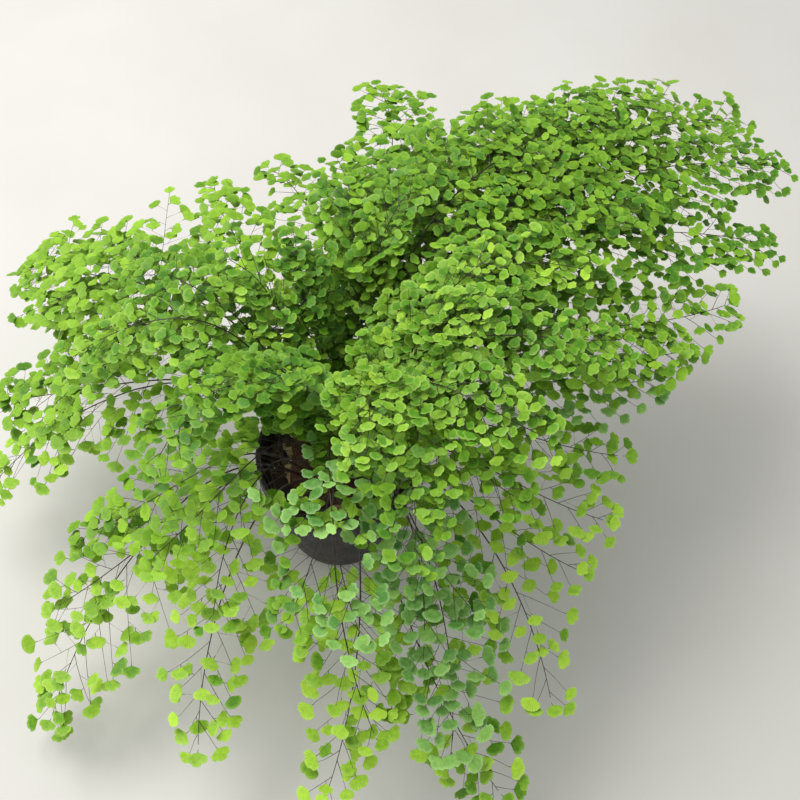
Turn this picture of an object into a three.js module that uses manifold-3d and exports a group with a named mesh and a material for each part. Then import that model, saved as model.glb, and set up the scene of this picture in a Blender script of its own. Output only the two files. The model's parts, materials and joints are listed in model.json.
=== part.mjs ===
// A potted maidenhair fern: a tapered plastic nursery pot, the potting mix in it, the fern's
// short rhizome, and the fronds that rise from the rhizome and arch outwards over the rim.
// Millimetres, +Z up. The origin is the centre of the pot's underside.

import * as THREE from 'three';
import { mergeVertices } from 'three/addons/utils/BufferGeometryUtils.js';
import Module from 'manifold-3d';

const wasm = await Module();
wasm.setup();

// ---- Driving dimensions ----

const GAP = 0.3; // air left between pieces that rest on each other

// Pot: a 12 cm nursery pot, 10.5 cm tall, with a turned-down rim band.
const POT_HEIGHT = 105;
const RIM_RADIUS = 60;
const FOOT_RADIUS = 41;
const WALL = 1.8;
const FLOOR = 2.4;
const BAND_HEIGHT = 14;
const BAND_STEP = 1.6;
const BAND_SLOPE = 1.5; // height over which the band steps out from the wall
const LIP = 1.2; // thickness of the rim's rounded edge
const FOOT_EDGE = 1; // bevel round the foot
const POT_SIDES = 36;
const DRAIN_HOLES = 6;
const DRAIN_SIDES = 12;
const DRAIN_RADIUS = 4.5;
const DRAIN_CIRCLE = 27;

// Potting mix and rhizome.
const MIX_TOP = 90;
const MIX_RIPPLE = 1.6; // height of the low bank that watering leaves round the edge
const MIX_BANK = 10; // how far in from the wall the bank reaches
const MIX_CREST = 3; // how far in from the wall its top lies
const MIX_SHOULDER = 2; // how far the mix has settled down the wall
const CROWN_RADIUS = 38;
const CROWN_EDGE = 1; // height of the rhizome's rim above the mix
const CROWN_HEIGHT = 9;
const CROWN_LOBES = 5;
const LOBE_DEPTH = 3; // how far the lobes stand out from the mean radius
const CROWN_SIDES = 30;
const CROWN_RINGS = [1, 0.86, 0.6, 0.3, 0.04]; // radii of its rings, as shares
const CROWN_UNDERCUT = 0.94; // radius of its underside, as a share

// Fronds fill a dome of nested layers, one frond to a layer, so that none cuts another.
// The lowest layer starts at the crown's edge; the highest starts near its centre.
const LOWEST_RISE = 88;
const HIGHEST_RISE = 220;
const OUTER_FOOT = 30;
const INNER_FOOT = 5;
const BEND_LENGTH = 46; // how far out a stalk goes before it has levelled off
const DROOP = 0.0013; // sag per square millimetre of reach, on average
const DROOP_SWING = 0.001; // how much more it sags on the low side than on the high side
const HIGH_SIDE = 40; // azimuth of the side where the fronds are held highest, in degrees

const LOWEST_STALK = 0.5; // bare stalk, as a share of the whole frond's length
const HIGHEST_STALK = 0.42;
const STALK_RADIUS = 0.8; // at the foot
const MIDRIB_RADIUS = 0.5; // where the blade begins
const STALK_BEND = 10; // how far round the foot lies from the tip, in degrees, to either side
const STALK_STATIONS = 7;
const STALK_SIDES = 8; // as many as a blade section has points
const MIDRIB_STEPS = 24;
const FOOT_CROWDING = 1.5; // crowds the midrib's points towards the foot, where it bends most
const BRANCH_SPACING = 21;
const BLADE_THICKNESS = 1.4;
const BLADE_SLENDERNESS = 0.29; // half width of a blade, as a share of its length
const WIDEST_HALF = 50;
const BRANCH_SWEEP = 0.5; // how far forward a branch's tip lies, per unit of its length
const SHORT_BRANCH = 0.62; // the outline between two branches, as a share of their length
const FEWEST_BRANCHES = 5;
const BLADE_OPENING = 0.03; // share of the frond's length in which the blade opens
const BASE_WIDTH = 0.4; // half width at the blade's base, as a share of the widest
const BASE_SPREAD = 4; // how fast it widens from there
const BLADE_TAPER = 0.7; // below 1, the blade stays wide until near its tip
const TIP_HALF_WIDTH = 3;

// The fronds from the lowest layer to the highest: the tip's azimuth in degrees from +X, its
// reach in millimetres from the pot's axis, and the frond's age.
const FRONDS = [
  // outer fronds that trail low in front and to the left
  [-139, 256, 'young'],
  [-92, 230, 'young'],
  [-67, 254, 'young'],
  [-150, 218, 'young'],
  [-113, 222, 'young'],
  [-56, 229, 'young'],
  [-178, 250, 'young'],
  [-73, 226, 'old'],
  [-84, 210, 'young'],
  [-154, 184, 'mature'],
  [-40, 192, 'young'],
  [168, 256, 'mature'],
  // fronds that spread at mid height, all round
  [105, 212, 'mature'],
  [-75, 184, 'old'],
  [-31, 190, 'young'],
  [152, 236, 'mature'],
  [-116, 168, 'young'],
  [71, 224, 'mature'],
  [-20, 184, 'mature'],
  [118, 194, 'mature'],
  [-64, 174, 'old'],
  [144, 298, 'mature'],
  [-5, 195, 'old'],
  [48, 292, 'mature'],
  [84, 264, 'mature'],
  [-132, 166, 'mature'],
  [0, 218, 'mature'],
  // high fronds: the long lobe on the right, and the crown
  [147, 172, 'mature'],
  [8, 252, 'mature'],
  [-100, 170, 'mature'],
  [178, 170, 'young'],
  [16, 298, 'mature'],
  [-86, 180, 'old'],
  [35, 352, 'mature'],
  [91, 128, 'mature'],
  [26, 340, 'mature'],
  [-50, 152, 'mature'],
  [41, 312, 'mature'],
  [-138, 140, 'mature'],
  [9, 146, 'young'],
  [149, 82, 'young'],
  [-76, 158, 'mature'],
  [-10, 165, 'young'],
  [60, 96, 'mature'],
  [-40, 146, 'young'],
  [-140, 104, 'mature'],
  [14, 94, 'young'],
  [-84, 112, 'young'],
  [122, 62, 'mature'],
  [-22, 92, 'young'],
  [-118, 84, 'mature'],
];

const LEAF_COLOURS = { young: '#9CCB4A', mature: '#558F2C', old: '#5E9A6A' };

// ---- Small helpers ----

const radians = THREE.MathUtils.degToRad;
const lerp = THREE.MathUtils.lerp;

function finish(color, roughness) {
  return new THREE.MeshStandardMaterial({ color, roughness, metalness: 0 });
}

// Closed skin over rings that hold the same number of points, with a fan over each end. The
// faces of the second half of each ring mirror those of the first, so that the top and the
// underside of a thin curved blade fold along the same lines and stay one thickness apart.
function loft(rings) {
  const sides = rings[0].length;
  const geometry = new THREE.BufferGeometry().setFromPoints(rings.flat());
  const index = [];
  for (let ring = 1; ring < rings.length; ring += 1) {
    for (let side = 0; side < sides; side += 1) {
      const next = (side + 1) % sides;
      const near = (ring - 1) * sides;
      const far = ring * sides;
      if (side < sides / 2) {
        index.push(near + side, near + next, far + next);
        index.push(near + side, far + next, far + side);
      } else {
        index.push(near + side, near + next, far + side);
        index.push(near + next, far + next, far + side);
      }
    }
  }
  const last = (rings.length - 1) * sides;
  for (let side = 1; side < sides - 1; side += 1) {
    index.push(0, side + 1, side);
    index.push(last, last + side, last + side + 1);
  }
  geometry.setIndex(index);
  return geometry;
}

function toSolid(geometry) {
  const bare = geometry.clone();
  bare.deleteAttribute('normal');
  bare.deleteAttribute('uv');
  const merged = mergeVertices(bare, 1e-4);
  return new wasm.Manifold(new wasm.Mesh({
    numProp: 3,
    vertProperties: new Float32Array(merged.attributes.position.array),
    triVerts: new Uint32Array(merged.index.array),
  }));
}

function toGeometry(solid) {
  const mesh = solid.getMesh();
  const geometry = new THREE.BufferGeometry();
  geometry.setAttribute('position', new THREE.BufferAttribute(mesh.vertProperties, 3));
  geometry.setIndex(new THREE.BufferAttribute(mesh.triVerts, 1));
  return geometry;
}

// A body of revolution about +Z from [radius, height] points that start and end on the axis.
function turned(profile, sides) {
  const points = profile.map(([radius, height]) => new THREE.Vector2(radius, height));
  return new THREE.LatheGeometry(points, sides).rotateX(Math.PI / 2);
}

// ---- Pot ----

// Radius of the pot's outside at a height, below the rim band.
function potRadius(height) {
  return lerp(FOOT_RADIUS, RIM_RADIUS - BAND_STEP, height / POT_HEIGHT);
}

function pot() {
  const bandBottom = POT_HEIGHT - BAND_HEIGHT;
  const edge = 0.4 * LIP;
  const shell = turned([
    [0, 0],
    [FOOT_RADIUS - FOOT_EDGE, 0],
    [FOOT_RADIUS, FOOT_EDGE],
    [potRadius(bandBottom), bandBottom],
    [RIM_RADIUS - edge, bandBottom + BAND_SLOPE],
    [RIM_RADIUS, POT_HEIGHT - 2 * LIP],
    [RIM_RADIUS - edge, POT_HEIGHT - edge],
    [RIM_RADIUS - LIP, POT_HEIGHT],
    [RIM_RADIUS - BAND_STEP - WALL, POT_HEIGHT - edge],
    [potRadius(bandBottom) - WALL, bandBottom],
    [potRadius(FLOOR) - WALL, FLOOR],
    [0, FLOOR],
  ], POT_SIDES);
  let solid = toSolid(shell);
  for (let hole = 0; hole < DRAIN_HOLES; hole += 1) {
    const angle = (hole / DRAIN_HOLES) * 2 * Math.PI;
    const drill = new THREE.CylinderGeometry(DRAIN_RADIUS, DRAIN_RADIUS, 3 * FLOOR, DRAIN_SIDES);
    drill.rotateX(Math.PI / 2);
    drill.translate(DRAIN_CIRCLE * Math.cos(angle), DRAIN_CIRCLE * Math.sin(angle), FLOOR / 2);
    solid = solid.subtract(toSolid(drill));
  }
  return toGeometry(solid);
}

// ---- Potting mix ----

function pottingMix() {
  const side = (height) => potRadius(height) - WALL - GAP;
  const bottom = FLOOR + GAP;
  return turned([
    [0, bottom],
    [side(bottom), bottom],
    [side(MIX_TOP - MIX_SHOULDER), MIX_TOP - MIX_SHOULDER],
    [side(MIX_TOP) - MIX_CREST, MIX_TOP + MIX_RIPPLE],
    [side(MIX_TOP) - MIX_BANK, MIX_TOP],
    [0, MIX_TOP],
  ], POT_SIDES);
}

// ---- Rhizome ----

// Height of the crown's top above the mix, at a share of its radius.
function crownTop(share) {
  return CROWN_HEIGHT * Math.sqrt(Math.max(0, 1 - share * share));
}

// A low lobed mound of branching rhizome, flat underneath where it lies on the mix.
function rhizome() {
  const bottom = MIX_TOP + GAP;
  const ring = (share, height) => Array.from({ length: CROWN_SIDES }, (_, step) => {
    const angle = (step / CROWN_SIDES) * 2 * Math.PI;
    const radius = share * (CROWN_RADIUS + LOBE_DEPTH * Math.cos(CROWN_LOBES * angle));
    return new THREE.Vector3(radius * Math.cos(angle), radius * Math.sin(angle), height);
  });
  const top = CROWN_RINGS.map((share) => ring(share, bottom + CROWN_EDGE + crownTop(share)));
  return loft([ring(CROWN_RINGS.at(-1), bottom), ring(CROWN_UNDERCUT, bottom), ...top]);
}

// ---- Fronds ----

// A level is a layer of the dome, from 0 for the lowest to 1 for the highest.
function footRadius(level) {
  return lerp(OUTER_FOOT, INNER_FOOT, level);
}

function layerHeight(x, y, level) {
  const radius = Math.hypot(x, y);
  const foot = footRadius(level);
  const crown = CROWN_EDGE + crownTop(foot / (CROWN_RADIUS + LOBE_DEPTH));
  const start = MIX_TOP + 3 * GAP + crown;
  const rise = lerp(LOWEST_RISE, HIGHEST_RISE, level) * Math.tanh((radius - foot) / BEND_LENGTH);
  const lean = Math.cos(Math.atan2(y, x) - radians(HIGH_SIDE));
  return start + rise - (DROOP - DROOP_SWING * lean) * (radius * radius - foot * foot);
}

function onLayer(x, y, level, lift = 0) {
  return new THREE.Vector3(x, y, layerHeight(x, y, level) + lift);
}

// The line of the stalk and midrib, from the crown to the tip.
function midrib(azimuth, reach, bend, level) {
  const foot = footRadius(level);
  const points = [];
  for (let step = 0; step <= MIDRIB_STEPS; step += 1) {
    const share = (step / MIDRIB_STEPS) ** FOOT_CROWDING;
    const angle = radians(azimuth - bend * (1 - share * share));
    const radius = lerp(foot, reach, share);
    points.push(onLayer(radius * Math.cos(angle), radius * Math.sin(angle), level));
  }
  return new THREE.CatmullRomCurve3(points);
}

// A ring of points around the bare stalk, square to its line and flat at its foot.
function stalkRing(curve, along, thickness) {
  const centre = curve.getPointAt(along);
  const tangent = curve.getTangentAt(along);
  const ahead = new THREE.Vector3(tangent.x, tangent.y, 0).normalize();
  const across = new THREE.Vector3(-ahead.y, ahead.x, 0);
  const upwards = along === 0 ? ahead : new THREE.Vector3().crossVectors(across, tangent);
  return Array.from({ length: STALK_SIDES }, (_, side) => {
    const angle = (side / STALK_SIDES) * 2 * Math.PI;
    return centre.clone()
      .addScaledVector(across, thickness * Math.cos(angle))
      .addScaledVector(upwards, -thickness * Math.sin(angle));
  });
}

// Eight points around the leafy blade: its two edges, with three points above and three below.
function bladeRing(curve, along, left, right, level) {
  const centre = curve.getPointAt(along);
  const tangent = curve.getTangentAt(along);
  const ahead = new THREE.Vector2(tangent.x, tangent.y).normalize();
  const place = (share, lift) => {
    const width = share > 0 ? left : right;
    const out = share * width;
    const sweep = BRANCH_SWEEP * Math.abs(out);
    const x = centre.x - ahead.y * out + ahead.x * sweep;
    const y = centre.y + ahead.x * out + ahead.y * sweep;
    return onLayer(x, y, level, lift);
  };
  const half = BLADE_THICKNESS / 2;
  return [
    place(1, 0),
    place(0.5, half),
    place(0, half),
    place(-0.5, half),
    place(-1, 0),
    place(-0.5, -half),
    place(0, -half),
    place(0.5, -half),
  ];
}

// Half width of the blade as a share of its widest, from its base (0) to its tip (1).
function bladeOutline(share) {
  return Math.min(1, BASE_WIDTH + BASE_SPREAD * share) * (1 - share) ** BLADE_TAPER;
}

function frond(azimuth, reach, bend, level) {
  const curve = midrib(azimuth, reach, bend, level);
  const stalk = lerp(LOWEST_STALK, HIGHEST_STALK, level);
  const bladeLength = (1 - stalk) * curve.getLength();
  const halfWidth = Math.min(WIDEST_HALF, BLADE_SLENDERNESS * bladeLength);
  const branches = Math.max(FEWEST_BRANCHES, Math.round(bladeLength / BRANCH_SPACING));
  const rings = [];
  for (let station = 0; station < STALK_STATIONS; station += 1) {
    const share = station / STALK_STATIONS;
    rings.push(stalkRing(curve, stalk * share, lerp(STALK_RADIUS, MIDRIB_RADIUS, share)));
  }
  rings.push(bladeRing(curve, stalk, MIDRIB_RADIUS, MIDRIB_RADIUS, level));
  for (let branch = 0; branch <= branches; branch += 1) {
    const share = branch / branches;
    const along = lerp(stalk + BLADE_OPENING, 1, share);
    const width = TIP_HALF_WIDTH + halfWidth * bladeOutline(share);
    const shorter = width * SHORT_BRANCH;
    const leftIsLong = branch % 2 === 0;
    rings.push(bladeRing(curve, along, leftIsLong ? width : shorter,
      leftIsLong ? shorter : width, level));
  }
  return loft(rings);
}

// ---- The whole plant ----

const fern = new THREE.Group();

function add(name, geometry, material) {
  const mesh = new THREE.Mesh(geometry, material);
  mesh.name = name;
  fern.add(mesh);
}

add('pot', pot(), finish('#26272A', 0.45));
add('potting_mix', pottingMix(), finish('#2E231A', 0.95));
add('rhizome', rhizome(), finish('#4A3222', 0.9));

FRONDS.forEach(([azimuth, reach, age], layer) => {
  const level = layer / (FRONDS.length - 1);
  const bend = layer % 2 === 0 ? STALK_BEND : -STALK_BEND;
  const name = `frond_${String(layer + 1).padStart(2, '0')}`;
  add(name, frond(azimuth, reach, bend, level), finish(LEAF_COLOURS[age], 0.6));
});

export default fern;
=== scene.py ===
# %% [markdown]
# A potted maidenhair fern: a black nursery pot, potting mix, a scaly rhizome, and some fifty
# fronds of wiry stalks and small fan-shaped leaflets.
# The CAD model fixes where every piece is. Each frond there is one thin solid; here the same
# frond is grown again along that solid as a stalk, side branches and separate leaflets.

# %% Load the frame
import json
import math
import random

import bmesh
import bpy
from mathutils import Matrix, Quaternion, Vector, noise
from mathutils.geometry import interpolate_bezier


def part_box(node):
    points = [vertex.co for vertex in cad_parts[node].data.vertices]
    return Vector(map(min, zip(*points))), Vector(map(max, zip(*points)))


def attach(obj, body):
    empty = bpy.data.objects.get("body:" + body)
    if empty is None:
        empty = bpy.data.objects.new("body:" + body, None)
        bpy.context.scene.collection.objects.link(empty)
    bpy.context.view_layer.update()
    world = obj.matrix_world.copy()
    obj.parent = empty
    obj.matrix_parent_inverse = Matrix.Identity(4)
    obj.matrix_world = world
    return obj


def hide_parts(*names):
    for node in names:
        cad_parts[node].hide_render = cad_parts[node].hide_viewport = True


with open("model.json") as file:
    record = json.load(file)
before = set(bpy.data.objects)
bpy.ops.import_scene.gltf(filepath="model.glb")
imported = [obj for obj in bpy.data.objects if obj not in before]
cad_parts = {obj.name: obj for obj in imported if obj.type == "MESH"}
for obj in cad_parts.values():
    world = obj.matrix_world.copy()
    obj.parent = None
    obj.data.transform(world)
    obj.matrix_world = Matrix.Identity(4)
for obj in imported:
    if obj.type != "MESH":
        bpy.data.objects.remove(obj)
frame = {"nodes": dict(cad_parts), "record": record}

MM = 0.001
UP = Vector((0, 0, 1))
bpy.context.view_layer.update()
slots = {row["node"]: row["material_slot"] for row in frame["record"]["subparts"]}

# %% [markdown]
# The camera looks down into the plant from the front, 60 degrees below the horizon, so the
# fronds fan out around the pot's rim. It is aimed first and framed second: one small turn
# after the aim puts the rim a little left of and below the middle of the picture.

# %% Camera
FOCAL = 1.3125              # focal length, in widths of the picture
RIM_LEFT, RIM_DOWN = 0.075, 0.065   # the rim's place off the middle, in the same widths
SENSOR = 36                 # millimetres
STAND_OFF = 0.75            # metres from the rim's centre
rim_centre = Vector((0, 0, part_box("pot")[1][2]))
tilt = math.radians(60)
aim = Vector((0, math.cos(tilt), -math.sin(tilt)))
camera_up = Vector((0, math.sin(tilt), math.cos(tilt)))
framed = aim * FOCAL + Vector((1, 0, 0)) * RIM_LEFT + camera_up * RIM_DOWN

camera = bpy.data.objects.new("camera", bpy.data.cameras.new("camera"))
camera.data.sensor_width = SENSOR
camera.data.lens = FOCAL * SENSOR
camera.data.clip_start = 0.01
camera.rotation_mode = "QUATERNION"
level = Quaternion((1, 0, 0), math.pi / 2 - tilt)
camera.rotation_quaternion = aim.rotation_difference(framed) @ level
camera.location = rim_centre - aim * STAND_OFF
bpy.context.scene.collection.objects.link(camera)
bpy.context.scene.camera = camera
print("camera at", [round(value, 3) for value in camera.location])

# %% [markdown]
# Every colour below is written as the sRGB hex code that a picture editor shows. Blender's
# shaders work in linear light, so one function converts them. A second small function adds a
# shader node, sets its options, and fills or links its sockets, which keeps each material
# short enough to read from top to bottom.

# %% Colour and node helpers
def colour(code):
    """An sRGB hex code as a linear colour."""
    shares = [int(code[start:start + 2], 16) / 255 for start in (0, 2, 4)]
    return [s / 12.92 if s <= 0.04045 else ((s + 0.055) / 1.055) ** 2.4 for s in shares] + [1]


def add_node(tree, kind, sockets, **options):
    """Adds a shader node; a socket's value is a number, a colour or another node's output."""
    made = tree.nodes.new("ShaderNode" + kind)
    for name, value in options.items():
        setattr(made, name, value)
    for socket, value in sockets.items():
        if isinstance(value, bpy.types.NodeSocket):
            tree.links.new(value, made.inputs[socket])
        else:
            made.inputs[socket].default_value = value
    return made


def start_material(name, **sockets):
    """A material with a Principled surface, whose uniform values are set on its sockets."""
    material = bpy.data.materials.new(name)
    material.use_nodes = True
    surface = material.node_tree.nodes["Principled BSDF"]
    for socket, value in sockets.items():
        surface.inputs[socket.replace("_", " ")].default_value = value
    return material, material.node_tree, surface


# %% [markdown]
# The light is that of an overcast day, which is what shade-loving ferns are seen in: a pale
# sky from everywhere and one large soft lamp overhead to the left, so leaflets facing up are
# bright and the gaps between layers go dark. The floor is plain and pale.

# %% Floor and light
FLOOR_REACH = 25            # metres, so that its edge is far away from any side

floor_paint, tree, surface = start_material("matt pale floor paint", Roughness=0.85)
place = add_node(tree, "TexCoord", {}).outputs["Object"]
cloud = add_node(tree, "TexNoise", {"Vector": place, "Scale": 6.0, "Detail": 6.0})
shade = add_node(tree, "Mix", {0: cloud.outputs["Fac"], 6: colour("CFCBC3"), 7: colour("DEDBD5")},
                 data_type="RGBA")
tree.links.new(shade.outputs[2], surface.inputs["Base Color"])

shape = bmesh.new()
bmesh.ops.create_grid(shape, x_segments=1, y_segments=1, size=FLOOR_REACH)
mesh = bpy.data.meshes.new("floor")
shape.to_mesh(mesh)
shape.free()
mesh.materials.append(floor_paint)
floor = bpy.data.objects.new("floor", mesh)
bpy.context.scene.collection.objects.link(floor)

sky = bpy.data.worlds.new("overcast sky")
sky.use_nodes = True
sky.node_tree.nodes["Background"].inputs["Color"].default_value = colour("F2F5F7")
sky.node_tree.nodes["Background"].inputs["Strength"].default_value = 0.64
bpy.context.scene.world = sky

lamp = bpy.data.objects.new("softbox", bpy.data.lights.new("softbox", "AREA"))
lamp.data.shape = "DISK"
lamp.data.size = 1.3
lamp.data.energy = 31
lamp.location = (-0.75, 0.35, 1.7)
lamp.rotation_mode = "QUATERNION"
lamp.rotation_quaternion = (rim_centre - lamp.location).to_track_quat("-Z", "Y")
bpy.context.scene.collection.objects.link(lamp)
bpy.context.scene.view_settings.view_transform = "Standard"

# %% [markdown]
# A finished piece is a bmesh turned into an object. It rides the only body, and the CAD node
# that it stands for is hidden.

# %% Finishing a piece
def finish_piece(name, shape, materials, node):
    """Makes the shape an object that rides the body and stands for a CAD node."""
    mesh = bpy.data.meshes.new(name)
    shape.to_mesh(mesh)
    shape.free()
    for material in materials:
        mesh.materials.append(material)
    piece = bpy.data.objects.new(name, mesh)
    bpy.context.scene.collection.objects.link(piece)
    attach(piece, "root")
    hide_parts(node)
    return piece


def spin_profile(profile, steps):
    """Spins an outline of (radius, height) pairs in millimetres into a closed solid."""
    shape = bmesh.new()
    row = [shape.verts.new((radius * MM, 0, height * MM)) for radius, height in profile]
    edges = [shape.edges.new(pair) for pair in zip(row, row[1:])]
    bmesh.ops.spin(shape, geom=row + edges, cent=(0, 0, 0), axis=UP, angle=math.tau,
                   steps=steps, use_merge=True)
    bmesh.ops.remove_doubles(shape, verts=shape.verts, dist=1e-6)
    bmesh.ops.recalc_face_normals(shape, faces=shape.faces)
    return shape


# %% [markdown]
# The pot is injection-moulded polypropylene, charcoal black with a satin skin. Moulding gives
# it a thin wall, a turned-down band with a rounded lip, and a foot ring. Handling leaves dull
# scuffs, and watering leaves a haze of pale dust that is thickest low on the wall. The wall is
# one outline spun round, which keeps its thickness even.

# %% Pot plastic
pot_plastic, tree, surface = start_material("moulded polypropylene", IOR=1.49,
                                             Specular_IOR_Level=0.3)
place = add_node(tree, "TexCoord", {}).outputs["Object"]
# Scuffs are some 15 mm across; the moulded grain is 0.4 mm.
scuff = add_node(tree, "TexNoise", {"Vector": place, "Scale": 65.0, "Detail": 5.0})
grain = add_node(tree, "TexNoise", {"Vector": place, "Scale": 2500.0, "Detail": 2.0})
height = add_node(tree, "SeparateXYZ", {"Vector": place}).outputs["Z"]
low_wall = add_node(tree, "MapRange", {"Value": height, "From Min": 0.0, "From Max": 0.06,
                                       "To Min": 0.6, "To Max": 0.08})
dust = add_node(tree, "Math", {0: low_wall.outputs[0], 1: scuff.outputs["Fac"]},
                operation="MULTIPLY")
skin = add_node(tree, "Mix", {0: dust.outputs[0], 6: colour("1B1C1D"), 7: colour("6A645E")},
                data_type="RGBA")
tree.links.new(skin.outputs[2], surface.inputs["Base Color"])
dull = add_node(tree, "MapRange", {"Value": scuff.outputs["Fac"], "From Min": 0.3,
                                   "From Max": 0.7, "To Min": 0.34, "To Max": 0.58})
tree.links.new(dull.outputs[0], surface.inputs["Roughness"])
relief = add_node(tree, "Bump", {"Height": grain.outputs["Fac"], "Distance": 0.00008,
                                 "Strength": 0.4})
tree.links.new(relief.outputs["Normal"], surface.inputs["Normal"])

# %% Pot wall
RIM, FOOT, HEIGHT, WALL, FLOOR = 60.0, 41.0, 105.0, 1.8, 2.4
BAND_FOOT, BAND_STEP = 91.0, 1.6
HOLES, HOLE_RADIUS, HOLE_CIRCLE, DRILL_DEPTH = 6, 4.5, 27.0, 8.0
AROUND = 120                # steps round the pot


def wall_radius(height):
    """Outer radius of the tapered wall below the band, in millimetres."""
    return FOOT + (RIM - BAND_STEP - FOOT) * height / HEIGHT


band_inside = wall_radius(BAND_FOOT) - WALL
pot_outline = [
    (0, 1.2), (FOOT - 6, 1.2), (FOOT - 4.6, 0.1), (FOOT - 1.2, 0), (FOOT - 0.3, 0.3),
    (FOOT, 1.2), (wall_radius(45), 45), (wall_radius(BAND_FOOT - 1), BAND_FOOT - 1),
    (wall_radius(BAND_FOOT) + 0.3, BAND_FOOT), (RIM - 0.9, BAND_FOOT + 0.2),
    (RIM - 0.45, BAND_FOOT + 0.8), (RIM - 0.1, HEIGHT - 4), (RIM, HEIGHT - 2.2),
    (RIM - 0.2, HEIGHT - 0.8), (RIM - 0.9, HEIGHT - 0.1), (RIM - 1.8, HEIGHT),
    (RIM - 2.9, HEIGHT - 0.3), (RIM - 3.4, HEIGHT - 1.4), (band_inside + 1.2, BAND_FOOT + 2),
    (band_inside, BAND_FOOT), (wall_radius(45) - WALL, 45),
    (wall_radius(FLOOR + 1.5) - WALL, FLOOR + 1.5), (wall_radius(FLOOR) - WALL - 1.5, FLOOR),
    (0, FLOOR),
]
pot = finish_piece("nursery_pot", spin_profile(pot_outline, AROUND), [pot_plastic], "pot")

drill = bmesh.new()
for hole in range(HOLES):
    bearing = Matrix.Rotation(hole * math.tau / HOLES, 4, "Z")
    bmesh.ops.create_cone(drill, segments=24, cap_ends=True, radius1=HOLE_RADIUS * MM,
                          radius2=HOLE_RADIUS * MM, depth=DRILL_DEPTH * MM,
                          matrix=bearing @ Matrix.Translation((HOLE_CIRCLE * MM, 0, 0)))
mesh = bpy.data.meshes.new("drill")
drill.to_mesh(mesh)
drill.free()
cutter = bpy.data.objects.new("drill", mesh)
bpy.context.scene.collection.objects.link(cutter)
drain = pot.modifiers.new("drain holes", "BOOLEAN")
drain.object = cutter
bpy.context.view_layer.update()
drained = bpy.data.meshes.new_from_object(pot.evaluated_get(bpy.context.evaluated_depsgraph_get()))
pot.modifiers.clear()
pot.data = drained
bpy.data.objects.remove(cutter)
for face in pot.data.polygons:
    face.use_smooth = abs(face.normal.z) < 0.98
print("pot faces", len(pot.data.polygons))

# %% [markdown]
# Potting mix is peat, composted bark and a little perlite. Its surface is lumpy at every size:
# soft mounds of a few millimetres are modelled, chips and grains are strewn on top as separate
# small solids, and the crumb below a millimetre is left to the bump in the material.

# %% Mix materials
def crumb_material(name, dark, pale, patch, grit, roughness):
    """A rough natural surface whose colour varies over patches and over grit, both in mm."""
    material, tree, surface = start_material(name, Roughness=roughness)
    place = add_node(tree, "TexCoord", {}).outputs["Object"]
    broad = add_node(tree, "TexNoise", {"Vector": place, "Scale": 1000 / patch, "Detail": 3.0})
    fine = add_node(tree, "TexNoise", {"Vector": place, "Scale": 1000 / grit, "Detail": 4.0})
    blend = add_node(tree, "Math", {0: broad.outputs["Fac"], 1: fine.outputs["Fac"]},
                     operation="ADD")
    share = add_node(tree, "MapRange", {"Value": blend.outputs[0], "From Min": 0.7,
                                        "From Max": 1.3})
    skin = add_node(tree, "Mix", {0: share.outputs[0], 6: colour(dark), 7: colour(pale)},
                    data_type="RGBA")
    tree.links.new(skin.outputs[2], surface.inputs["Base Color"])
    relief = add_node(tree, "Bump", {"Height": fine.outputs["Fac"], "Distance": grit * MM * 0.5,
                                     "Strength": 0.8})
    tree.links.new(relief.outputs["Normal"], surface.inputs["Normal"])
    return material


# Damp peat: near-black brown crumbs of 1 mm in clods of 9 mm.
peat = crumb_material("damp peat", "17100B", "3A2B20", 9, 1.0, 0.95)
# Composted pine bark: flat brown chips with a fibrous face.
bark = crumb_material("composted bark", "2E2018", "6F553F", 5, 0.8, 0.85)
# Perlite: expanded volcanic glass, chalky white and pitted.
perlite = crumb_material("perlite", "B9B2A4", "E6E1D6", 3, 0.6, 0.9)
# Feeding roots: pale tan threads that reach the surface near the wall.
root_skin = crumb_material("fern root", "8C6B4C", "CDB594", 6, 0.7, 0.7)

# %% Mix surface
dice = random.Random(4)
mix_top = 90.0
MOUND, MOUND_SCALE = 1.6, 90    # the mounds' height in mm, and how many fit in a metre
mix_edge = wall_radius(mix_top) - WALL - 0.4
rings = 24
mix_outline = [(0, FLOOR + 0.4), (wall_radius(FLOOR) - WALL - 1.6, FLOOR + 0.4),
               (wall_radius(FLOOR + 3) - WALL - 0.4, FLOOR + 3), (mix_edge, mix_top - 1)]
mix_outline += [(mix_edge * (1 - ring / rings), mix_top) for ring in range(1, rings + 1)]
mix_shape = spin_profile(mix_outline, AROUND)
for vert in mix_shape.verts:
    if vert.co.z > (mix_top - 3) * MM:
        reach = vert.co.xy.length / (mix_edge * MM)
        mound = noise.noise(vert.co * MOUND_SCALE) * MOUND + noise.noise(vert.co * 260) * 0.9
        vert.co.z += (mound + 1.5 * reach ** 6) * MM * min(1, (1 - reach) * 12 + 0.3)
for face in mix_shape.faces:
    face.smooth = True


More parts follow.
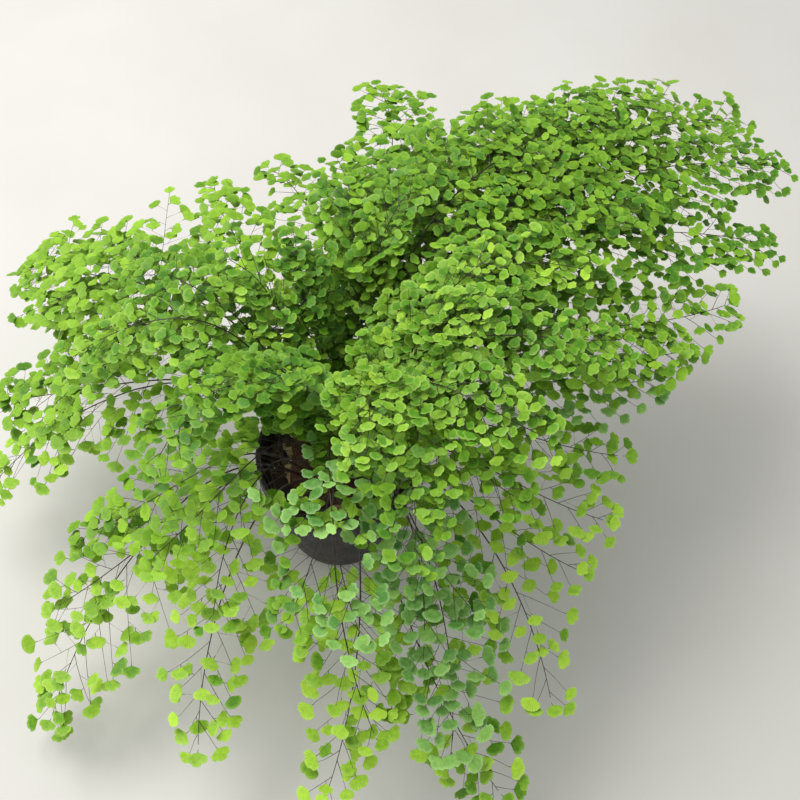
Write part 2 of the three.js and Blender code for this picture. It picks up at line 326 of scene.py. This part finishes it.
def strew(shape, count, size, flatness, material_index, inner, outer):
    """Strews angular grains over the mix between two radii; lengths in millimetres."""
    for _ in range(count):
        grain = dice.uniform(*size) * MM
        bearing = dice.uniform(0, math.tau)
        reach = math.sqrt(dice.uniform(inner ** 2, outer ** 2)) * MM
        spot = Vector((reach * math.cos(bearing), reach * math.sin(bearing), mix_top * MM))
        turn = Matrix.Rotation(dice.uniform(0, math.tau), 4, "Z") @ Matrix.Rotation(
            dice.uniform(-0.5, 0.5), 4, "X") @ Matrix.Diagonal((1, 0.6, flatness, 1))
        made = bmesh.ops.create_icosphere(shape, subdivisions=1, radius=grain / 2,
                                          matrix=Matrix.Translation(spot) @ turn)
        for vert in made["verts"]:
            vert.co += noise.noise_vector(vert.co * 900) * grain * 0.16
            vert.co.z += noise.noise(spot * MOUND_SCALE) * MOUND * MM + grain * 0.1
        for face in {face for vert in made["verts"] for face in vert.link_faces}:
            face.material_index = material_index


strew(mix_shape, 260, (2.5, 7.5), 0.35, 1, 18, mix_edge - 4)
strew(mix_shape, 320, (1.2, 3.0), 0.8, 0, 18, mix_edge - 2)
strew(mix_shape, 60, (1.2, 2.8), 0.85, 2, 18, mix_edge - 3)
strew(mix_shape, 40, (9, 20), 0.05, 3, 30, mix_edge - 10)
print("mix faces", len(mix_shape.faces))
finish_piece("peat_and_bark", mix_shape, [peat, bark, perlite, root_skin], "potting_mix")

# %% [markdown]
# The rhizome is the creeping stem that the fronds rise from: a knobbly crown on the mix,
# clothed in narrow golden-brown scales. The CAD solid gives its lobes, so a merged copy of it
# is cut finer and roughened, and the scales are strewn over it as small pointed cones.

# %% Rhizome
# Old rhizome: dry brown tissue, with paler scales some 3 mm long.
crown_skin = crumb_material("scaly rhizome", "2B1A10", "6B4428", 7, 1.5, 0.8)
scale_skin = crumb_material("rhizome scale", "5E3B1F", "A8743C", 4, 0.8, 0.6)

SCALES = 420
SAME_PLACE = 0.02 * MM      # corners of a CAD solid nearer than this are one corner

crown = bmesh.new()
crown.from_mesh(frame["nodes"]["rhizome"].data)
bmesh.ops.remove_doubles(crown, verts=crown.verts, dist=SAME_PLACE)
bmesh.ops.subdivide_edges(crown, edges=crown.edges, cuts=2, use_grid_fill=True, smooth=0.4)
crown_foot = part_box("rhizome")[0][2]
for vert in crown.verts:
    if vert.co.z > crown_foot + 0.5 * MM:
        vert.co += vert.normal * noise.noise(vert.co * 220) * 1.4 * MM
for face in crown.faces:
    face.smooth = True
crown_faces = [face.calc_center_median() for face in crown.faces if face.normal.z > 0.3]
for spot in dice.sample(crown_faces, min(SCALES, len(crown_faces))):
    lean = Matrix.Rotation(dice.uniform(0, math.tau), 4, "Z") @ Matrix.Rotation(
        dice.uniform(0.9, 1.5), 4, "Y") @ Matrix.Diagonal((1, 0.5, 1, 1))
    made = bmesh.ops.create_cone(crown, segments=4, cap_ends=True, radius1=0.7 * MM,
                                 radius2=0.05 * MM, depth=dice.uniform(2.5, 4.5) * MM,
                                 matrix=Matrix.Translation(spot + UP * 0.5 * MM) @ lean)
    for face in {face for vert in made["verts"] for face in vert.link_faces}:
        face.material_index = 1
print("rhizome faces", len(crown.faces))
finish_piece("scaly_rhizome", crown, [crown_skin, scale_skin], "rhizome")

# %% [markdown]
# A maidenhair leaflet is a little fan, wider than it is long, on a stalk as thin as a hair. Its
# outer edge is cut into shallow lobes and its sides are straight. A row of three points spun
# through the fan's angle makes it; the rim is then pulled into lobes, the blade is cupped, and
# solidify gives it its fifth of a millimetre. The edge round the rim is marked sharp, or smooth
# shading would run over it and the thin blade would look like a cushion. It has only some sixty
# faces, because there will be thousands. Eight fans of different cut are enough for the eye.

# %% Leaflet
# Lengths are in leaflet lengths; a leaflet is 5 to 9 mm long.
FAN_STEPS = 10
CUTS = 8
LEAF_THICKNESS = 0.032
STALKLET, STALKLET_RADII = 0.26, (0.018, 0.03)
LOBES = ((3, 7), (3, 6), (4, 7), (5,), (4,), ())    # the fan's steps that a notch falls on
RIM_ANGLE = 0.8             # radians; an edge that bends more than this is sharp


def leaflet_shape(seed):
    """One fan-shaped leaflet a unit long, its base at the origin, on a hair-thin stalklet."""
    chance = random.Random(seed)
    opening = math.radians(chance.uniform(112, 148))
    shape = bmesh.new()
    row = [shape.verts.new((reach, 0, 0)) for reach in (0, 0.58, 1)]
    edges = [shape.edges.new(pair) for pair in zip(row, row[1:])]
    bmesh.ops.rotate(shape, verts=row, cent=(0, 0, 0), matrix=Matrix.Rotation(-opening / 2, 3, "Z"))
    bmesh.ops.spin(shape, geom=row + edges, cent=(0, 0, 0), axis=UP, angle=opening,
                   steps=FAN_STEPS)
    bmesh.ops.remove_doubles(shape, verts=shape.verts, dist=1e-4)
    fan = shape.loops.layers.uv.new("fan")
    for face in shape.faces:
        for loop in face.loops:
            place = loop.vert.co
            bearing = math.atan2(place.y, place.x)
            loop[fan].uv = (bearing / opening + 0.5, place.length)
    notches = chance.choice(LOBES)
    depth = chance.uniform(0.1, 0.18)
    shoulder = chance.uniform(0.2, 0.3)
    cup = chance.uniform(-0.08, 0.12)
    wave = chance.uniform(0, math.tau)
    for vert in shape.verts:
        bearing = math.atan2(vert.co.y, vert.co.x)
        reach = vert.co.length
        column = round((bearing / opening + 0.5) * FAN_STEPS)
        swell = 1 - shoulder * abs(2 * bearing / opening) ** 4
        if reach > 0.9 and column in notches:
            swell *= 1 - depth
        vert.co *= swell
        droop = -cup * vert.co.y ** 2 - 0.06 * vert.co.x ** 2
        vert.co.z = droop + 0.035 * reach * math.sin(4 * bearing + wave)
    bmesh.ops.solidify(shape, geom=shape.faces, thickness=LEAF_THICKNESS)
    bmesh.ops.recalc_face_normals(shape, faces=shape.faces)
    for face in shape.faces:
        face.smooth = True
    for edge in shape.edges:
        edge.smooth = edge.calc_face_angle(0) < RIM_ANGLE
    lay = Matrix.Translation((-0.1, 0, -0.01)) @ Matrix.Rotation(math.pi / 2, 4, "Y")
    stem = bmesh.ops.create_cone(shape, segments=3, cap_ends=True, radius1=STALKLET_RADII[0],
                                 radius2=STALKLET_RADII[1], depth=STALKLET, matrix=lay)
    for face in {face for vert in stem["verts"] for face in vert.link_faces}:
        face.material_index = 1
    mesh = bpy.data.meshes.new("leaflet")
    shape.to_mesh(mesh)
    shape.free()
    mesh.attributes.new("tint", "FLOAT", "POINT")
    return mesh


leaflets = [leaflet_shape(seed) for seed in range(CUTS)]
print("leaflet faces", [len(leaflet.polygons) for leaflet in leaflets])

# %% [markdown]
# Leaf blades are living tissue: green from chlorophyll, a little translucent, with a waxy
# skin. Young fronds are a yellow green, grown ones a grass green, and old ones a bluish green.
# The outer part of every leaflet is painted paler, most on old ones: a painted sheen that
# stands for the sky reflecting off the blade's edge. Each leaflet carries a tint of its own,
# so no two neighbours match. Fine veins fan out from the base; real ones are 0.4 mm apart,
# which is too fine to show, so they are drawn four times as wide.

# %% Leaf materials
VEIN_SWING = 62.0           # radians of a wave from side to side, which is some ten veins


def leaf_material(name, deep, bright, rim_sheen, sheen_strength, roughness):
    """A fan-veined blade from its deepest to its brightest tint; its outer edge is painted paler
    towards a sheen colour, a painted sky reflection, by a given share.
    """
    material, tree, surface = start_material(
        name, IOR=1.42, Subsurface_Weight=0.12, Subsurface_Scale=0.0006,
        Specular_IOR_Level=0.32)
    surface.inputs["Subsurface Radius"].default_value = (0.6, 1.0, 0.25)
    place = add_node(tree, "TexCoord", {}).outputs["Object"]
    # Blades are mottled in patches of some 2.4 mm.
    mottle = add_node(tree, "TexNoise", {"Vector": place, "Scale": 420.0, "Detail": 3.0})
    tint = add_node(tree, "Attribute", {}, attribute_name="tint")
    spread = add_node(tree, "MapRange", {"Value": mottle.outputs["Fac"], "From Min": 0.3,
                                         "From Max": 0.7, "To Min": -0.16, "To Max": 0.16})
    share = add_node(tree, "Math", {0: tint.outputs["Fac"], 1: spread.outputs[0]},
                     operation="ADD", use_clamp=True)
    blade = add_node(tree, "Mix", {0: share.outputs[0], 6: colour(deep), 7: colour(bright)},
                     data_type="RGBA")
    fan = add_node(tree, "UVMap", {}, uv_map="fan").outputs["UV"]
    across = add_node(tree, "SeparateXYZ", {"Vector": fan})
    swing = add_node(tree, "Math", {0: across.outputs["X"], 1: VEIN_SWING},
                     operation="MULTIPLY")
    ripple = add_node(tree, "Math", {0: swing.outputs[0]}, operation="SINE")
    vein = add_node(tree, "MapRange", {"Value": ripple.outputs[0], "From Min": 0.2,
                                       "From Max": 1.0, "To Min": 0.0, "To Max": 0.22})
    veined = add_node(tree, "Mix", {0: vein.outputs[0], 6: blade.outputs[2], 7: colour(deep)},
                      data_type="RGBA")
    # Painted sheen: the outer part of the blade is painted paler towards the sheen colour, standing
    # for the sky reflecting off the leaflet's edge.
    sheen_mask = add_node(tree, "MapRange", {"Value": across.outputs["Y"], "From Min": 0.72,
                                      "From Max": 1.0, "To Min": 0.0, "To Max": sheen_strength})
    sheened = add_node(tree, "Mix", {0: sheen_mask.outputs[0], 6: veined.outputs[2], 7: colour(rim_sheen)},
                     data_type="RGBA")
    tree.links.new(sheened.outputs[2], surface.inputs["Base Color"])
    wax = add_node(tree, "MapRange", {"Value": mottle.outputs["Fac"], "From Min": 0.3,
                                      "From Max": 0.7, "To Min": roughness - 0.08,
                                      "To Max": roughness + 0.1})
    tree.links.new(wax.outputs[0], surface.inputs["Roughness"])
    relief = add_node(tree, "Bump", {"Height": ripple.outputs[0], "Distance": 0.00006,
                                     "Strength": 0.5})
    tree.links.new(relief.outputs["Normal"], surface.inputs["Normal"])
    return material


# Each age's third colour is its painted rim sheen, and the number after it is how strongly that sheen
# is painted.
leaf_finish = {
    "young_frond": leaf_material("young leaf", "508611", "B2DA40", "C4E176", 0.32, 0.5),
    "mature_frond": leaf_material("grown leaf", "42760F", "98C430", "A8CE54", 0.28, 0.46),
    "old_frond": leaf_material("old glaucous leaf", "4A8030", "A0CE66", "BCDD98", 0.4, 0.55),
}

# Stalks and ribs: lignified, hairless and polished, near black, with brown streaks some 8 mm
# long. The eye gets a thin dark line with a thin highlight.
wire, tree, surface = start_material("polished black stalk", IOR=1.5)
place = add_node(tree, "TexCoord", {}).outputs["Object"]
streak = add_node(tree, "TexNoise", {"Vector": place, "Scale": 120.0, "Detail": 2.0})
skin = add_node(tree, "Mix", {0: streak.outputs["Fac"], 6: colour("140F0C"), 7: colour("3A241A")},
                data_type="RGBA")
tree.links.new(skin.outputs[2], surface.inputs["Base Color"])
polish = add_node(tree, "MapRange", {"Value": streak.outputs["Fac"], "To Min": 0.2,
                                     "To Max": 0.5})
tree.links.new(polish.outputs[0], surface.inputs["Roughness"])

# %% [markdown]
# Each CAD frond is a skin over rings of eight corners: round rings along the bare stalk, then
# flat ones across the leafy blade. Reading those rings back gives the line of the midrib and
# the direction of the blade's two sides, so the leaflets grow exactly where the solid lies.

# %% Reading a frond back
RING_REACH = 2 * MM         # the foot ring's corners are nearer to each other than this
LEAST_BLADE = 4 * MM        # a ring wider than this belongs to the blade
FINENESS = 6                # samples of the midrib between two stations


def read_rings(node):
    """The rings of a frond solid, from its foot on the crown to its tip."""
    solid = bmesh.new()
    solid.from_mesh(frame["nodes"][node].data)
    bmesh.ops.remove_doubles(solid, verts=solid.verts, dist=SAME_PLACE)
    crown_middle = Vector((0, 0, mix_top * MM))
    foot = min(solid.verts, key=lambda vert: (vert.co - crown_middle).length)
    ring = [vert for vert in solid.verts if (vert.co - foot.co).length < RING_REACH]
    rings = []
    seen = set()
    while ring:
        rings.append([vert.co.copy() for vert in ring])
        seen.update(ring)
        beyond = {edge.other_vert(vert) for vert in ring for edge in vert.link_edges} - seen
        ring = sorted(beyond, key=lambda vert: vert.index)
    solid.free()
    return rings


def read_frond(node):
    """A frond's stations as (centre, left side, right side) and where its blade begins."""
    stations = []
    blade_start = None
    for ring in read_rings(node):
        pairs = [(one, two) for one in ring for two in ring]
        one, two = max(pairs, key=lambda pair: (pair[0] - pair[1]).length)
        along = sorted(ring, key=lambda corner: (corner - one).dot(two - one))
        centre = (along[3] + along[4]) / 2
        is_blade = (one - two).length > LEAST_BLADE
        if is_blade and blade_start is None:
            blade_start = len(stations)
        stations.append([centre, one - centre, two - centre])
    for number, station in enumerate(stations):
        ahead = stations[min(number + 1, len(stations) - 1)][0] - stations[max(number - 1, 0)][0]
        if number < blade_start:
            across = UP.cross(ahead).normalized()
            station[1:] = [across * MM, -across * MM]
        elif UP.cross(ahead).dot(station[1]) < 0:
            station[1:] = [station[2], station[1]]
    return stations, blade_start


sample, sample_start = read_frond("frond_34")
print("frond_34 has", len(sample), "stations, leafy from number", sample_start)


def trace_line(stations):
    """The midrib as close-set samples: (distance, point, left direction, right direction)."""
    samples = []
    centres = [station[0] for station in stations]
    distance = 0.0
    for number in range(len(stations) - 1):
        near, far = centres[number], centres[number + 1]
        # A sixth of the step between the neighbours makes one bend run into the next.
        leave = (far - centres[max(number - 1, 0)]) / 6
        arrive = (centres[min(number + 2, len(centres) - 1)] - near) / 6
        points = interpolate_bezier(near, near + leave, far - arrive, far, FINENESS + 1)
        for step, point in enumerate(points[:-1]):
            share = step / FINENESS
            left = stations[number][1].normalized().lerp(stations[number + 1][1].normalized(), share)
            right = stations[number][2].normalized().lerp(stations[number + 1][2].normalized(), share)
            if samples:
                distance += (point - samples[-1][1]).length
            samples.append((distance, point, left.normalized(), right.normalized()))
    return samples


# %% [markdown]
# Growth repeats itself: a frond's midrib bears side branches to left and right in turn, a long
# branch bears shorter ones, and every twig bears leaflets in turn and ends in one. So one
# function that calls itself grows them all. It collects the twigs as strands, which a curve
# with a round bevel turns into tubes, and stamps the leaflets along them.

# %% Twigs and leaflets
# Two openings in the foliage, in front: over the mix beside the crown, and over the pot's
# wall. No leaflet grows on the line from there to the light in front and above.
toward_light = -aim
openings = [(Vector((-33, 4, mix_top)) * MM, 19 * MM), (Vector((-8, -52, 80)) * MM, 18 * MM)]

SKYWARD, BLADEWARD, RESTLESS = 0.85, 0.35, 0.24    # how a leaflet's facing is mixed
SETBACK = 0.22              # the stalklet's length, in leaflet lengths
TWIG_RADII, TWIG_TAPER = {1: 0.2, 2: 0.12, 3: 0.12}, 0.02   # millimetres, by order and per step
TWIG_STEPS = 4
TINT_SPREAD = 0.15          # between twigs, and again between a twig's leaflets
SPREAD_AHEAD, SPREAD_ASIDE = 0.62, 0.78     # a side branch's heading, along and across its twig
HABIT = {  # leaflet length in mm, distance between leaflets, and how often one has dropped
    "young_frond": (7.3, 7.0, 0.4),
    "mature_frond": (7.3, 6.6, 0.14),
    "old_frond": (7.7, 7.3, 0.45),
}


def tubes(strands):
    """Round tubes along strands of (point, radius) pairs, as one mesh."""
    curve = bpy.data.curves.new("strands", "CURVE")
    curve.dimensions = "3D"
    curve.bevel_depth = 1
    curve.bevel_resolution = 1
    curve.use_fill_caps = True
    for strand in strands:
        spline = curve.splines.new("POLY")
        spline.points.add(len(strand) - 1)
        for point, (place, radius) in zip(spline.points, strand):
            point.co = (*place, 1)
            point.radius = radius
    carrier = bpy.data.objects.new("strands", curve)
    bpy.context.scene.collection.objects.link(carrier)
    bpy.context.view_layer.update()
    mesh = bpy.data.meshes.new_from_object(
        carrier.evaluated_get(bpy.context.evaluated_depsgraph_get()))
    bpy.data.objects.remove(carrier)
    bpy.data.curves.remove(curve)
    mesh.polygons.foreach_set("material_index", [1] * len(mesh.polygons))
    return mesh


def add_leaflet(frond, base, heading, facing, tint):
    """Stamps one leaflet: its base, the way it points, the way it faces, and its tint."""
    chance = frond["chance"]
    for spot, clear in openings:
        away = base - spot
        if (away - toward_light * away.dot(toward_light)).length < clear:
            return
    restless = Vector(chance.gauss(0, RESTLESS) for _ in range(3))
    facing = facing * BLADEWARD + UP * SKYWARD + restless
    facing.normalize()
    heading = (heading - facing * heading.dot(facing)).normalized()
    across = facing.cross(heading)
    size = frond["size"] * MM * chance.uniform(0.8, 1.15)
    turn = Matrix((heading, across, facing)).transposed().to_4x4()
    place = Matrix.Translation(base + heading * SETBACK * size) @ turn @ Matrix.Scale(size, 4)
    leaflet = chance.choice(leaflets).copy()
    shade = min(1, max(0, tint + chance.gauss(0, TINT_SPREAD)))
    leaflet.attributes["tint"].data.foreach_set("value", [shade] * len(leaflet.vertices))
    leaflet.transform(place)
    frond["shape"].from_mesh(leaflet)
    bpy.data.meshes.remove(leaflet)
    frond["leaflets"] += 1


def grow_twig(frond, start, heading, facing, length, order):
    """Grows a twig and all that it bears; lengths in millimetres, order 1 next to the midrib."""
    chance = frond["chance"]
    pitch = frond["pitch"]
    sag = chance.uniform(0.02, 0.14)
    sway = facing.cross(heading) * chance.gauss(0, 0.08)
    heading = (heading + facing * chance.gauss(0, 0.16)).normalized()

    def reach(share):
        bend = sway * share * share - UP * sag * share * share
        return start + (heading * share + bend) * length * MM

    frond["strands"].append([
        (reach(step / TWIG_STEPS), (TWIG_RADII[order] - TWIG_TAPER * step) * MM)
        for step in range(TWIG_STEPS + 1)])
    tint = frond["tint"] + chance.gauss(0, TINT_SPREAD)
    side = chance.choice((-1, 1))
    along = pitch * chance.uniform(0.5, 0.75)
    while along < length - 0.45 * pitch:
        outward = facing.cross(heading) * side
        bears = (heading * SPREAD_AHEAD + outward * SPREAD_ASIDE).normalized()
        spare = 0.42 * (length - along)
        forks = spare > 0.95 * pitch and order < 3
        is_there = chance.random() >= frond["dropped"] * (0.5 if forks else 1)
        if is_there and forks:
            grow_twig(frond, reach(along / length), bears, facing, spare, order + 1)
        elif is_there:
            add_leaflet(frond, reach(along / length), bears, facing, tint)
        side = -side
        along += pitch * chance.uniform(0.85, 1.15) * 0.9
    add_leaflet(frond, reach(1), heading, facing, tint)


# %% Fronds
# The share of a stalk that bears nothing, on the lowest fronds and on the highest.
BARE = {"young_frond": (0.44, 0.26), "mature_frond": (0.34, 0.26), "old_frond": (0.5, 0.44)}
BRANCH_PITCH = 10           # millimetres between side branches
LONG = 260                  # a frond longer than this, in millimetres, is wider than its solid
RIB_FOOT, RIB_START, RIB_TIP = 0.9, 0.75, 0.2      # the rib's radii in millimetres
ROOTED = 2                  # millimetres that a rib goes into the rhizome
FROND_COUNT = sum(node.startswith("frond_") for node in slots)


def grow_frond(node):
    """Grows one frond along its CAD solid and makes it a piece.

    Fronds are numbered from the lowest, level 0, to the highest, level 1. Low ones have larger
    and brighter leaflets, further apart. Low ones and long ones have dropped more of them.
    """
    stations, blade_start = read_frond(node)
    line = trace_line(stations)
    total = line[-1][0] / MM
    widest = max(side.length for station in stations[blade_start:] for side in station[1:]) / MM
    chance = random.Random(int(node[-2:]))
    frond = {"shape": bmesh.new(), "strands": [], "leaflets": 0, "chance": chance,
             "age": slots[node], "level": int(node[-2:]) / FROND_COUNT}
    size, pitch, dropped = HABIT[frond["age"]]
    frond["size"] = size * (1.14 - 0.42 * frond["level"])
    frond["pitch"] = pitch * (1.2 - 0.36 * frond["level"])
    frond["dropped"] = dropped * (1.3 - 1.2 * frond["level"]) + 0.0012 * max(0, total - 240)
    frond["tint"] = chance.uniform(0.0, 0.4) + 0.42 * (1 - frond["level"])
    widest *= 1 + 0.0045 * max(0, total - LONG)
    rib = [(line[0][1] - UP * ROOTED * MM, RIB_FOOT * MM)]
    for distance, point, _, _ in line[::2]:
        taper = (RIB_START - RIB_TIP) * distance / MM / total
        rib.append((point, (RIB_START - taper) * MM))
    frond["strands"].append(rib)

    bare = BARE[frond["age"]]
    bare = bare[0] + (bare[1] - bare[0]) * frond["level"]
    along = bare * total
    side = chance.choice((1, 2))
    while along < total - 3:
        nearest = min(range(len(line)), key=lambda index: abs(line[index][0] / MM - along))
        _, point, left, right = line[nearest]
        ahead = (line[min(nearest + 1, len(line) - 1)][1] - line[max(nearest - 1, 0)][1]).normalized()
        share = (along / total - bare) / (1 - bare)
        # Branches are longest a sixth of the way up the blade, and shorten to its tip.
        outline = min(1, 0.5 + 3 * share) * (1 - share) ** 0.58
        length = 4 + widest * outline * chance.uniform(0.84, 1.08)
        heading = ((left, right)[side - 1] + ahead * (0.25 + 0.5 * share)).normalized()
        facing = (ahead.cross(left) + UP * 2.2).normalized()
        facing = (facing - heading * facing.dot(heading)).normalized()
        grow_twig(frond, point, heading, facing, length, 1)
        side = 3 - side
        crowding = (1.1 - 0.2 * frond["level"]) * (1 - 0.4 * share)
        along += BRANCH_PITCH * crowding * chance.uniform(0.85, 1.15)
    end = (line[-1][1] - line[-3][1]).normalized()
    add_leaflet(frond, line[-1][1], end, UP, frond["tint"])

    wires = tubes(frond["strands"])
    frond["shape"].from_mesh(wires)
    bpy.data.meshes.remove(wires)
    finish_piece("leafy_" + node, frond["shape"], [leaf_finish[frond["age"]], wire], node)
    return frond["leaflets"]


counts = {node: grow_frond(node) for node in sorted(slots) if node.startswith("frond_")}
print("leaflets", sum(counts.values()), "fewest", min(counts.values()), "most", max(counts.values()))
